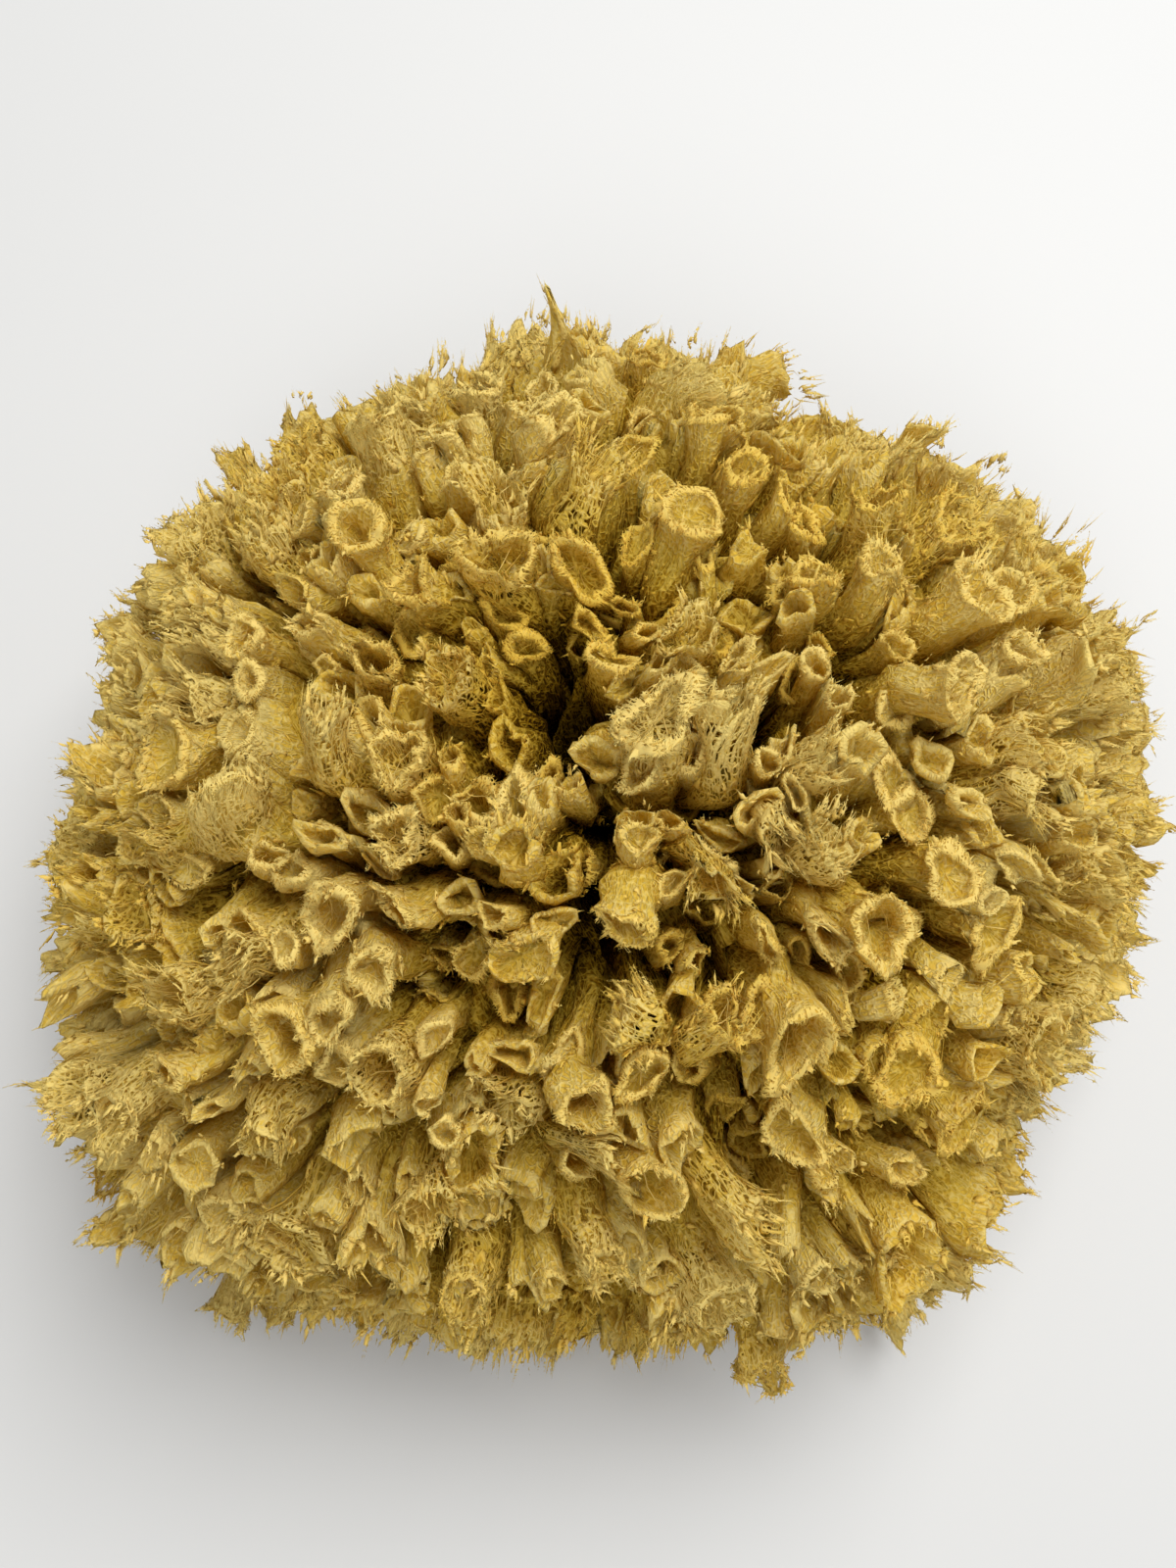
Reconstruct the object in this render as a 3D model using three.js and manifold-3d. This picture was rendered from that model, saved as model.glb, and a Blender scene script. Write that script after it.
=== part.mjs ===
// A dried sea sponge of the kind sold for the bath. It grew as one piece: a lobed dome of hollow fibrous tubes
// that stand out from a common body, cut off flat underneath where it sat on the rock.
// Millimetres, +Z up. The origin is the middle of the flat cut that it rests on.

import * as THREE from "three";
import { mergeVertices } from "three/addons/utils/BufferGeometryUtils.js";
import Module from "manifold-3d";

// Driving sizes of the whole sponge
const HEIGHT = 88; // from the flat cut to the highest mouths
const BELLY_Z = 30; // height of the widest girth
const ROUNDNESS = 2.05; // 2 would be an ellipsoid, more is fuller in the shoulders
const GIRTH = [83, 85, 80, 71, 78, 78, 78, 79, 80, 83, 87, 92, 84, 78, 79, 83, 79, 77]; // reach every 20 degrees from +X
const BODY_SHARE = 0.78; // the solid body's reach, as a share of the mouths' reach
const BODY_FOOT = 60; // mean radius of the flat cut

// Tubes that fill the dome evenly
const PLACES = 600; // places on the dome, of which every second one holds a full-sized tube
const LOWEST_RISE = -0.33; // sine of the lowest direction in which tubes stand out
const GOLDEN_ANGLE = Math.PI * (3 - Math.sqrt(5));
const TUBE_RADIUS = 3.1; // the thinnest full-sized tube at its mouth
const TUBE_RADIUS_SPREAD = 1.6;
const SHORTFALL = 4; // how far short of the dome the shortest full-sized tube stops
const LEAN = 0.4; // how far tubes lean out of the true
const ELBOW_ROOM = 1.5; // a tube gives way to a prominent one within this share of both radii

// Every tube
const SIDES = 5;
const FOOT_SHARE = 0.53; // where a tube's foot lies, as a share of the way from the body's middle to its mouth
const FOOT_RADIUS = 2.0;
const BORE_SHARE = 1.3; // depth of the mouth's hollow, in mouth radii
const LOWEST_MOUTH = 4; // no mouth is centred lower than this above the cut

// Deep gaps on top where no tube reaches the dome: x, y, radius, depth
const GAPS = [
  [-9, 19, 4, 12],
  [-15, 11, 4, 12],
  [-8, 4, 7, 16],
  [-1, -14, 5, 14],
  [-1, -30, 6, 14],
  [-8, -38, 5, 8],
  [19, 2, 4, 10],
  [10, -8, 3, 12],
  [-35, -31, 5, 8],
  [-38, -50, 5, 8],
];
const GAP_LIMIT = 6; // a tube that would be lowered more than this is missing

// Prominent tubes: mouth x, y, z, the axis's bearing and rise in degrees, mouth radius
const PROMINENT = [
  // Crown
  [11, 29, 84, 50, 60, 3.3],
  [19, 36, 79, 60, 60, 2.9],
  [14, 51, 72, 30, 40, 5.3],
  [-18, 54, 69, 95, 50, 3.6],
  [-6, 44, 79, 75, 60, 3.6],
  [-1, 36, 82, 55, 40, 3.7],
  [5, -1, 88, 140, 85, 3.4],
  [3, -14, 87, 45, 75, 2.1],
  [2, -24, 86, 260, 30, 3.2],
  [10, -19, 87, 275, 45, 3.4],
  [2, -33, 83, 150, 30, 2.6],
  [13, -34, 83, 60, 45, 2.9],
  [14, 2, 87, 80, 55, 3.8],
  [26, -14, 84, 40, 40, 3.2],
  [20, -14, 86, 290, 30, 2.6],
  [25, -4, 86, 5, 40, 2.4],
  // Left flank
  [-30, 47, 71, 110, 50, 3.7],
  [-35, 36, 75, 95, 65, 3.0],
  [-32, 27, 80, 130, 70, 3.3],
  [-46, 31, 72, 130, 45, 2.8],
  [-47, 15, 77, 170, 70, 2.3],
  [-57, 0, 72, 190, 55, 3.9],
  [-56, 8, 73, 160, 45, 3.7],
  [-33, 2, 84, 80, 45, 2.6],
  [-59, -11, 71, 200, 45, 3.3],
  [-46, -6, 79, 90, 40, 4.1],
  [-33, -22, 83, 210, 60, 3.3],
  [-25, -22, 85, 210, 60, 3.2],
  [-27, -29, 83, 240, 65, 2.7],
  [-32, -33, 81, 255, 55, 2.6],
  [-37, -37, 79, 225, 55, 3.4],
  [-54, -39, 70, 220, 35, 2.4],
  [-41, -47, 72, 260, 30, 3.4],
  [-45, -26, 78, 210, 35, 2.7],
  [-53, -31, 73, 190, 40, 3.1],
  // Right flank
  [47, 21, 77, 25, 45, 4.7],
  [53, 12, 75, 35, 60, 2.9],
  [42, 6, 81, 15, 45, 3.2],
  [35, 32, 78, 85, 50, 3.6],
  [34, 22, 81, 55, 70, 2.7],
  [25, 20, 84, 70, 70, 2.8],
  [47, -22, 73, 335, 70, 3.2],
  [32, -23, 81, 350, 55, 3.8],
  [25, -24, 83, 310, 60, 2.6],
  [42, -17, 77, 15, 60, 3.1],
  [21, -37, 81, 290, 50, 3.9],
  [54, 0, 75, 355, 35, 3.7],
  [52, -7, 74, 350, 35, 3.4],
  [43, -46, 65, 315, 45, 3.6],
  // Front
  [-3, -43, 79, 320, 45, 3.5],
  [0, -49, 75, 10, 25, 3.2],
  [4, -41, 80, 295, 70, 2.7],
  [6, -54, 72, 285, 55, 3.8],
  [17, -56, 70, 330, 35, 3.1],
  [-1, -61, 65, 290, 30, 2.8],
  // Far edge
  [30, 78, 30, 15, 15, 4.4],
  [38, 65, 34, 15, 15, 3.7],
  [-10, 84, 30, 90, 20, 5.3],
  [-17, 84, 26, 95, 15, 4.6],
  [-1, 84, 30, 80, 20, 3.2],
  [6, 79, 34, 65, 20, 3.2],
  [-29, 77, 30, 100, 20, 3.5],
  [-52, 70, 30, 110, 20, 3.3],
  [-61, 60, 34, 120, 20, 3.2],
  [52, 57, 40, 60, 25, 3.0],
  [59, 54, 38, 45, 25, 3.5],
  [65, 49, 36, 50, 25, 3.8],
  [73, 45, 34, 40, 25, 3.8],
  // Right edge
  [82, 32, 32, 20, 20, 3.8],
  [81, 24, 34, 15, 25, 4.4],
  [84, 13, 32, 5, 15, 3.7],
  [85, 1, 30, 0, 15, 4.4],
  [83, -7, 28, 355, 15, 3.7],
  [80, -15, 26, 350, 15, 3.7],
  [77, -20, 24, 345, 15, 3.0],
  [73, -26, 24, 330, 10, 2.6],
  [66, -40, 18, 335, 10, 3.4],
  // Left edge
  [-83, -8, 30, 175, 15, 2.9],
  [-83, -24, 26, 190, 15, 3.5],
  [-82, -36, 20, 190, 15, 3.1],
  [-80, -47, 16, 205, 10, 4.2],
  // Front hem
  [-72, -62, 12, 225, 5, 3.7],
  [-60, -74, 10, 240, 5, 4.2],
  [-53, -72, 10, 245, 5, 3.4],
  [-35, -70, 10, 255, 5, 3.8],
  [-19, -76, 9, 262, 5, 3.9],
  [-6, -72, 14, 272, 15, 4.1],
  [-8, -78, 7, 262, 5, 3.0],
  [3, -77, 9, 270, 5, 4.2],
  [14, -75, 9, 275, 5, 4.5],
  [29, -74, 8, 292, 5, 3.0],
  [37, -72, 9, 290, 5, 3.4],
  [48, -74, 9, 300, 5, 3.3],
  [54, -64, 12, 305, 10, 3.4],
  [62, -50, 18, 315, 10, 2.5],
];

// The body under the tubes
const BODY_TURNS = 14;
const BODY_RINGS = 6;
const COLOUR = 0xa3853c;
const ROUGHNESS = 0.95;

const DEGREE = Math.PI / 180;
const MIDDLE = new THREE.Vector3(0, 0, BELLY_Z);

const wasm = await Module();
wasm.setup();

// The same uneven number from 0 to 1 each time for a tube and a quality of it
function uneven(tube, quality) {
  const wave = Math.sin(tube * 12.9898 + quality * 78.233) * 43758.5453;
  return wave - Math.floor(wave);
}

// Reach of the mouths in plan at a bearing in radians, eased between the listed ones
function girth(bearing) {
  const turn = (bearing / (2 * Math.PI) + 1) % 1;
  const place = turn * GIRTH.length;
  const before = Math.floor(place);
  const part = place - before;
  const eased = part * part * (3 - 2 * part);
  return GIRTH[before % GIRTH.length] * (1 - eased) + GIRTH[(before + 1) % GIRTH.length] * eased;
}

// Reach of the dome from its middle in a direction
function domeReach(direction) {
  const across = Math.hypot(direction.x, direction.y) / girth(Math.atan2(direction.y, direction.x));
  const upward = Math.abs(direction.z) / (HEIGHT - BELLY_Z);
  return (across ** ROUNDNESS + upward ** ROUNDNESS) ** (-1 / ROUNDNESS);
}

function onDome(direction) {
  const unit = direction.clone().normalize();
  return unit.multiplyScalar(domeReach(unit));
}

// The way the dome faces in a direction from its middle
function domeNormal(direction) {
  const step = 0.05;
  const side = new THREE.Vector3().crossVectors(direction, new THREE.Vector3(0.12, 0.07, 0.99)).normalize();
  const other = new THREE.Vector3().crossVectors(direction, side);
  const along = (axis, sign) => onDome(direction.clone().addScaledVector(axis, sign * step));
  const first = along(side, 1).sub(along(side, -1));
  const second = along(other, 1).sub(along(other, -1));
  const normal = first.cross(second).normalize();
  return normal.dot(direction) > 0 ? normal : normal.negate();
}

// How far the gaps lower the dome at a place in plan
function gapDepth(x, y) {
  const depths = GAPS.map(([gapX, gapY, radius, depth]) => {
    const distance = Math.hypot(x - gapX, y - gapY) / radius;
    return depth * Math.exp(-distance * distance);
  });
  return Math.max(...depths);
}

function prominentTubes() {
  return PROMINENT.map(([x, y, z, bearing, rise, radius]) => ({
    mouth: new THREE.Vector3(x, y, z),
    axis: new THREE.Vector3(
      Math.cos(bearing * DEGREE) * Math.cos(rise * DEGREE),
      Math.sin(bearing * DEGREE) * Math.cos(rise * DEGREE),
      Math.sin(rise * DEGREE),
    ),
    radius,
  }));
}

// The full-sized tubes between the prominent ones, spread over the dome by the golden angle
function evenTubes(taken) {
  const tubes = [];
  for (let i = 0; i < PLACES; i += 2) {
    const spacing = ((i + 0.5) / PLACES) * (1 - LOWEST_RISE);
    const rise = Math.min(1, 1 - spacing + (uneven(i, 1) - 0.5) * 0.03);
    const bearing = i * GOLDEN_ANGLE + (uneven(i, 2) - 0.5) * 0.1;
    const level = Math.sqrt(1 - rise * rise);
    const direction = new THREE.Vector3(level * Math.cos(bearing), level * Math.sin(bearing), rise);
    const top = direction.clone().multiplyScalar(domeReach(direction));
    const lowered = rise > 0.3 ? gapDepth(top.x, top.y) : 0;
    const reach = domeReach(direction) - uneven(i, 3) * SHORTFALL - lowered;
    const mouth = direction.clone().multiplyScalar(reach).add(MIDDLE);
    const axis = domeNormal(direction);
    axis.x += (uneven(i, 4) - 0.5) * LEAN;
    axis.y += (uneven(i, 5) - 0.5) * LEAN;
    axis.z += (uneven(i, 6) - 0.5) * LEAN;
    axis.normalize();
    const radius = TUBE_RADIUS + TUBE_RADIUS_SPREAD * uneven(i, 7);
    const crowded = taken.some((tube) => tube.mouth.distanceTo(mouth) < ELBOW_ROOM * (tube.radius + radius));
    if (!crowded && lowered < GAP_LIMIT && mouth.z > LOWEST_MOUTH) {
      tubes.push({ mouth, axis, radius });
    }
  }
  return tubes;
}

// A ring of a tube's outside, square to an axis, with its first corner towards a guide
function ring(centre, axis, radius, guide) {
  const side = guide.clone().addScaledVector(axis, -guide.dot(axis)).normalize();
  const other = new THREE.Vector3().crossVectors(axis, side);
  return Array.from({ length: SIDES }, (_, corner) => {
    const turn = (corner / SIDES) * 2 * Math.PI;
    return centre
      .clone()
      .addScaledVector(side, radius * Math.cos(turn))
      .addScaledVector(other, radius * Math.sin(turn));
  });
}

// One tube: a lathed profile from its foot in the body over its rim into the hollow of its mouth,
// whose corners are then carried to their places
function tubeGeometry({ mouth, axis, radius }) {
  const foot = MIDDLE.clone().lerp(mouth, FOOT_SHARE);
  foot.z = Math.max(foot.z, FOOT_RADIUS + 1);
  const footAxis = mouth.clone().sub(foot).normalize();
  const hollow = mouth.clone().addScaledVector(footAxis, -BORE_SHARE * radius);
  const guide = new THREE.Vector3().crossVectors(footAxis, axis);
  const rings = [ring(foot, footAxis, FOOT_RADIUS, guide), ring(mouth, axis, radius, guide)];
  const profile = [[0, 0], [1, 1], [1, 2], [0, 3]].map(([outward, level]) => new THREE.Vector2(outward, level));
  const geometry = new THREE.LatheGeometry(profile, SIDES);
  const position = geometry.attributes.position;
  for (let i = 0; i < position.count; i += 1) {
    const level = Math.round(position.getY(i));
    const turn = Math.atan2(position.getX(i), position.getZ(i)) / (2 * Math.PI);
    const corner = (Math.round(turn * SIDES) + SIDES) % SIDES;
    const place = [foot, rings[0][corner], rings[1][corner], hollow][level];
    position.setXYZ(i, place.x, place.y, place.z);
  }
  return geometry;
}

// The body that all tubes stand on: a lathed dome on a flat foot, drawn out to the girth at each bearing
function bodyGeometry() {
  const profile = [new THREE.Vector2(0, 0), new THREE.Vector2(1, 0)];
  for (let level = 1; level <= BODY_RINGS; level += 1) {
    profile.push(new THREE.Vector2(level === BODY_RINGS ? 0 : 1, level));
  }
  const geometry = new THREE.LatheGeometry(profile, BODY_TURNS);
  const position = geometry.attributes.position;
  const mean = GIRTH.reduce((sum, reach) => sum + reach, 0) / GIRTH.length;
  for (let i = 0; i < position.count; i += 1) {
    const level = Math.round(position.getY(i));
    const outer = Math.hypot(position.getX(i), position.getZ(i));
    const bearing = Math.atan2(position.getX(i), position.getZ(i));
    if (level === 0) {
      const foot = outer * BODY_FOOT * (girth(bearing) / mean);
      position.setXYZ(i, foot * Math.cos(bearing), foot * Math.sin(bearing), 0);
    } else {
      const rise = ((level - 1) / (BODY_RINGS - 1)) * 90 * DEGREE;
      const flat = level === BODY_RINGS ? 0 : Math.cos(rise);
      const direction = new THREE.Vector3(flat * Math.cos(bearing), flat * Math.sin(bearing), Math.sin(rise));
      const place = onDome(direction).multiplyScalar(BODY_SHARE).add(MIDDLE);
      position.setXYZ(i, place.x, place.y, place.z);
    }
  }
  return geometry;
}

function solidOf(geometry) {
  geometry.deleteAttribute("normal");
  geometry.deleteAttribute("uv");
  const merged = mergeVertices(geometry, 1e-4);
  const solid = new wasm.Manifold(
    new wasm.Mesh({
      numProp: 3,
      vertProperties: new Float32Array(merged.attributes.position.array),
      triVerts: new Uint32Array(merged.index.array),
    }),
  );
  return solid;
}

function geometryOf(solid) {
  const mesh = solid.getMesh();
  const geometry = new THREE.BufferGeometry();
  geometry.setAttribute("position", new THREE.BufferAttribute(mesh.vertProperties, mesh.numProp));
  geometry.setIndex(new THREE.BufferAttribute(mesh.triVerts, 1));
  geometry.computeVertexNormals();
  return geometry;
}

const prominent = prominentTubes();
const tubes = [...prominent, ...evenTubes(prominent)];
const whole = tubes.reduce((solid, tube) => solid.add(solidOf(tubeGeometry(tube))), solidOf(bodyGeometry()));

const sponge = new THREE.Mesh(
  geometryOf(whole),
  new THREE.MeshStandardMaterial({ color: COLOUR, roughness: ROUGHNESS, metalness: 0 }),
);
sponge.name = "sponge";

const object = new THREE.Group();
object.add(sponge);
export default object;
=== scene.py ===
import math
from collections import namedtuple

import bmesh
import bpy
import numpy as np
from bpy.props import FloatProperty, FloatVectorProperty, IntProperty, PointerProperty
from mathutils import Matrix, Vector


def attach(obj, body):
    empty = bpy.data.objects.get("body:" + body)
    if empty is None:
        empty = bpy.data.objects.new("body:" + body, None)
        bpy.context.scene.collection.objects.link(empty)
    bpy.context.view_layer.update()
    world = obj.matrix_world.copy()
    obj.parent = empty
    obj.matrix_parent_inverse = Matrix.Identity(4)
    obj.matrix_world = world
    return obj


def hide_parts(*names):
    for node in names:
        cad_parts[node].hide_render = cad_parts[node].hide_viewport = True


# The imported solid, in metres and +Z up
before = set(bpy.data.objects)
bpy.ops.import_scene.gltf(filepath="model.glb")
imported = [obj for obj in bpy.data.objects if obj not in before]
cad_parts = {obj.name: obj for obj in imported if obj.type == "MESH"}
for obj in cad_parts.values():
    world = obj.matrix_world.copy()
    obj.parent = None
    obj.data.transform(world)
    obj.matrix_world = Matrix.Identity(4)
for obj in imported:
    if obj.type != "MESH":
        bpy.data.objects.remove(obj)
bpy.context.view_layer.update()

bl_info = {
    "name": "Sea sponge",
    "version": (1, 0, 0),
    "blender": (4, 5, 0),
    "location": "View3D > Sidebar > Sponge",
    "description": "Grows a dried bath sponge: a lobed dome of hollow fibrous tubes on a flat cut",
    "category": "Object",
}

MM = 0.001
BODY = "root"
NODE = "sponge"

# Form of the whole sponge in millimetres, the same values as its solid
HEIGHT = 88
BELLY_Z = 30
ROUNDNESS = 2.05
# Reach in plan every 20 degrees from +X, anticlockwise seen from above
GIRTH = (83, 85, 80, 71, 78, 78, 78, 79, 80, 83, 87, 92, 84, 78, 79, 83, 79, 77)
MIDDLE = np.array((0.0, 0.0, BELLY_Z))
BODY_SHARE = 0.80
# Reach across the dome that the painted shade in the depths is counted from
DOME_ACROSS = 81

# Uneven growth: wavelength and size of each layer of drift, which fades out towards the flat cut
DRIFTS = ((42, 1.6), (17, 0.9), (7.5, 0.35), (3.6, 0.22), (2.2, 0.13))
FIRM_HEIGHT = 12

# Folds that part the tubes into clumps, and patches of paler and browner fibre
FOLD_SIZE = 26
FOLD_WIDTH = 0.30
FOLD_DROP = 9
PATCH_SIZE = 45

# Tubes spread over the dome by the golden angle: full-sized ones, and small ones between them
GOLDEN_ANGLE = math.pi * (3 - math.sqrt(5))
LOWEST_RISE = -0.33
LOWEST_MOUTH = 4
TOP_RISE = 0.6
LEAN = 0.4
PLACES = 600
TUBE_RADIUS = 3.0
TUBE_RADIUS_SPREAD = 1.5
SHORTFALL = 4
ELBOW_ROOM = 1.5
SMALL_PLACES = 1030
SMALL_RADIUS = 1.6
SMALL_RADIUS_SPREAD = 1.2
SMALL_SHORTFALL = 1.5
SMALL_ELBOW_ROOM = 0.80

# Every tube: how far out its foot stands, how much wider it is there, and where its mouth starts to flare
FOOT_SHARE = 0.64
FOOT_SPREAD = 1.15
NECK_SPREAD = 0.92
NECK_LEVEL = 0.8
LOBES = (1, 2, 3, 4, 5, 8)
SHALLOW_BORE = 0.18
BORE_SPREAD = 0.6
THINNEST = 0.15

# The body under the tubes: its pores, its bumps as waves around the dome and their size, and how many
# millimetres below the rims it counts for the painted shade, which darkens it
BODY_PORES = 1100
PORE_RADIUS = 1.5
PORE_DEPTH = 5.0
BODY_BUMPS = ((7, 0.7), (13, 0.6), (24, 0.45), (40, 0.3))
BODY_BELOW = 7.0

# Webs between neighbouring tubes, as shares of their radii, gaps and heights
WEB_REACH = 1.45
WEB_LEAST = 0.9
WEB_HOLD = 0.75
WEB_FOOT = 0.15
WEB_CREST_LOW = 0.90
WEB_CREST_HIGH = 1.0
WEB_DROP = 0.35

# Felt on the rims: places across a rim, and its inset and rise there
RIM_ACROSS = (0, 0.3, 0.5, 0.7, 1)
RIM_INSET = (1, 0.8, 0.5, 0.1, 0)
RIM_RISE = (0.2, 0.35, 0.8, 0.35, 0.0)
RIM_FELT = 0.45

# Strands, and tufts: the share of them on the rims, and where along its way a tuft starts, is widest and ends
STRAND_STEPS = 5
RIM_TUFTS = 0.45
TUFT_THICKNESS = 0.04
TUFT_LEVELS = (-0.15, 0.18, 1)
SMALL_TUFT_SHARE = 0.75

# Painted shade: the shade on a rim, and how much painted shade darkens the fibre down the shoulders and
# sides, in the depths and in a bore; then the ranges of the fibre's own tone and weave
RIM_SHADE = 1.02
SHOULDER_PAINTED_SHADE = 0.14
SIDE_PAINTED_SHADE = 0.14
DEPTH_PAINTED_SHADE = 0.60
BORE_PAINTED_SHADE = 0.10
TONE_RANGE = (-0.17, 0.14)
MATTED_RANGE = (-0.28, 0.18)

# Fibre pattern: how often it repeats a millimetre around and along a tube, and how often a metre in the felt
WALL_FIBRES = ((2.4, 0.30, 1.0), 1050.0)
FRINGE_FIBRES = ((3.0, 0.45, 1.0), 1500.0)
FELT_SCALE = 1700.0
FIBRE_SHARE = 0.5
FELT_SHARE = 0.8
FIBRE_RELIEF = 0.4
TRANSLUCENCE = 0.42
CRISPNESS = 6.0

# Stage: the camera in millimetres and degrees, and soft lights in metres and watts
CAMERA_AIM = (-2.6, 3.0, 45)
CAMERA_RISE = 76
CAMERA_DISTANCE = 201
LENS = 31.5
FLOOR_REACH = 3.0
FLOOR_COLOUR = (0.58, 0.58, 0.571, 1)
ROOM_LIGHT = 0.42
LIGHTS = (
    ("key_light", (0.24, 0.34, 0.80), 0.60, 8.8),
    ("front_light", (-0.10, -0.55, 0.70), 0.40, 2.0),
)

# Deep gaps on top where no tube reaches the dome: x, y, radius, depth. A tube that would be lowered past the
# limit is missing. Only places that rise enough have gaps, and the body is lowered more than the tubes.
GAPS = (
    (-9, 19, 4, 12),
    (-15, 11, 4, 12),
    (-8, 4, 7, 16),
    (-1, -14, 5, 14),
    (-1, -30, 6, 14),
    (-8, -38, 5, 8),
    (19, 2, 4, 10),
    (10, -8, 3, 12),
    (-35, -31, 5, 8),
    (-38, -50, 5, 8),
)
GAP_LIMIT = 6
STEEPEST_GAP = 0.3
BODY_GAP_SHARE = 1.5

# Prominent tubes: kind, mouth x, y, z, the axis's bearing and rise in degrees, mouth radius
PROMINENT = (
    # Crown
    ("ring", 11, 29, 84, 50, 60, 3.3),
    ("ring", 19, 36, 79, 60, 60, 2.9),
    ("brush", 14, 51, 72, 30, 40, 5.3),
    ("lace", -18, 54, 69, 95, 50, 3.6),
    ("plain", -6, 44, 79, 75, 60, 3.6),
    ("brush", -1, 36, 82, 55, 40, 3.7),
    ("nest", 5, -1, 88, 140, 85, 4.2),
    ("ring", 3, -14, 87, 45, 75, 2.1),
    ("ring", 2, -24, 86, 260, 30, 3.2),
    ("brush", 10, -19, 87, 275, 45, 3.4),
    ("brush", 2, -33, 83, 150, 30, 2.6),
    ("lace", 13, -34, 83, 60, 45, 2.9),
    ("brush", 14, 2, 87, 80, 55, 3.8),
    ("brush", 26, -14, 84, 40, 40, 3.2),
    ("brush", 20, -14, 86, 290, 30, 2.6),
    ("brush", 25, -4, 86, 5, 40, 2.4),
    # Left flank
    ("lace", -30, 47, 71, 110, 50, 3.7),
    ("ring", -35, 36, 75, 95, 65, 3.0),
    ("ring", -32, 27, 80, 130, 70, 3.3),
    ("brush", -46, 31, 72, 130, 45, 2.8),
    ("plain", -47, 15, 77, 170, 70, 2.3),
    ("ring", -57, 0, 72, 190, 55, 3.9),
    ("brush", -56, 8, 73, 160, 45, 3.7),
    ("brush", -33, 2, 84, 80, 45, 2.6),
    ("lace", -59, -11, 71, 200, 45, 3.3),
    ("lace", -46, -6, 79, 90, 40, 4.1),
    ("ring", -33, -22, 83, 210, 60, 3.3),
    ("ring", -25, -22, 85, 210, 60, 3.2),
    ("ring", -27, -29, 83, 240, 65, 2.7),
    ("ring", -32, -33, 81, 255, 55, 2.6),
    ("ring", -37, -37, 79, 225, 55, 3.4),
    ("plain", -54, -39, 70, 220, 35, 2.4),
    ("brush", -41, -47, 72, 260, 30, 3.4),
    ("brush", -45, -26, 78, 210, 35, 2.7),
    ("brush", -53, -31, 73, 190, 40, 3.1),
    # Right flank
    ("plain", 47, 21, 77, 25, 45, 4.7),
    ("ring", 53, 12, 75, 35, 60, 2.9),
    ("plain", 42, 6, 81, 15, 45, 3.2),
    ("lace", 35, 32, 78, 85, 50, 3.6),
    ("ring", 34, 22, 81, 55, 70, 2.7),
    ("ring", 25, 20, 84, 70, 70, 2.8),
    ("ring", 47, -22, 73, 335, 70, 3.2),
    ("ring", 32, -23, 81, 350, 55, 3.8),
    ("ring", 25, -24, 83, 310, 60, 2.6),
    ("ring", 42, -17, 77, 15, 60, 3.1),
    ("ring", 21, -37, 81, 290, 50, 3.9),
    ("brush", 54, 0, 75, 355, 35, 3.7),
    ("brush", 52, -7, 74, 350, 35, 3.4),
    ("ring", 43, -46, 65, 315, 45, 3.6),
    # Front
    ("ring", -3, -43, 79, 320, 45, 3.5),
    ("brush", 0, -49, 75, 10, 25, 3.2),
    ("ring", 4, -41, 80, 295, 70, 2.7),
    ("ring", 6, -54, 72, 285, 55, 3.8),
    ("brush", 17, -56, 70, 330, 35, 3.1),
    ("lace", -1, -61, 65, 290, 30, 2.8),
    # Far edge
    ("tongue", 30, 78, 30, 15, 15, 4.4),
    ("tongue", 38, 65, 34, 15, 15, 3.7),
    ("tongue", -10, 84, 30, 90, 20, 5.3),
    ("tongue", -17, 84, 26, 95, 15, 4.6),
    ("tongue", -1, 84, 30, 80, 20, 3.2),
    ("tongue", 6, 79, 34, 65, 20, 3.2),
    ("tongue", -29, 77, 30, 100, 20, 3.5),
    ("tongue", -52, 70, 30, 110, 20, 3.3),
    ("tongue", -61, 60, 34, 120, 20, 3.2),
    ("tongue", 52, 57, 40, 60, 25, 3.0),
    ("tongue", 59, 54, 38, 45, 25, 3.5),
    ("tongue", 65, 49, 36, 50, 25, 3.8),
    ("tongue", 73, 45, 34, 40, 25, 3.8),
    # Right edge
    ("tongue", 82, 32, 32, 20, 20, 3.8),
    ("lace", 81, 24, 34, 15, 25, 4.4),
    ("lace", 84, 13, 32, 5, 15, 3.7),
    ("tongue", 85, 1, 30, 0, 15, 4.4),
    ("tongue", 83, -7, 28, 355, 15, 3.7),
    ("tongue", 80, -15, 26, 350, 15, 3.7),
    ("tongue", 77, -20, 24, 345, 15, 3.0),
    ("tongue", 73, -26, 24, 330, 10, 2.6),
    ("tongue", 66, -40, 18, 335, 10, 3.4),
    # Left edge
    ("tongue", -83, -8, 30, 175, 15, 2.9),
    ("tongue", -83, -24, 26, 190, 15, 3.5),
    ("plain", -82, -36, 20, 190, 15, 3.1),
    ("tongue", -80, -47, 16, 205, 10, 4.2),
    # Front hem
    ("lace", -72, -62, 12, 225, 5, 3.7),
    ("lace", -60, -74, 10, 240, 5, 4.2),
    ("lace", -53, -72, 10, 245, 5, 3.4),
    ("plain", -35, -70, 10, 255, 5, 3.8),
    ("lace", -19, -76, 9, 262, 5, 3.9),
    ("ring", -6, -72, 14, 272, 15, 4.1),
    ("tongue", -8, -78, 7, 262, 5, 3.0),
    ("plain", 3, -77, 9, 270, 5, 4.2),
    ("plain", 14, -75, 9, 275, 5, 4.5),
    ("lace", 29, -69, 8, 292, 5, 3.0),
    ("lace", 37, -72, 9, 290, 5, 3.4),
    ("tongue", 48, -74, 9, 300, 5, 3.3),
    ("lace", 54, -64, 12, 305, 10, 3.4),
    ("tongue", 62, -50, 18, 315, 10, 2.5),
)

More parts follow.
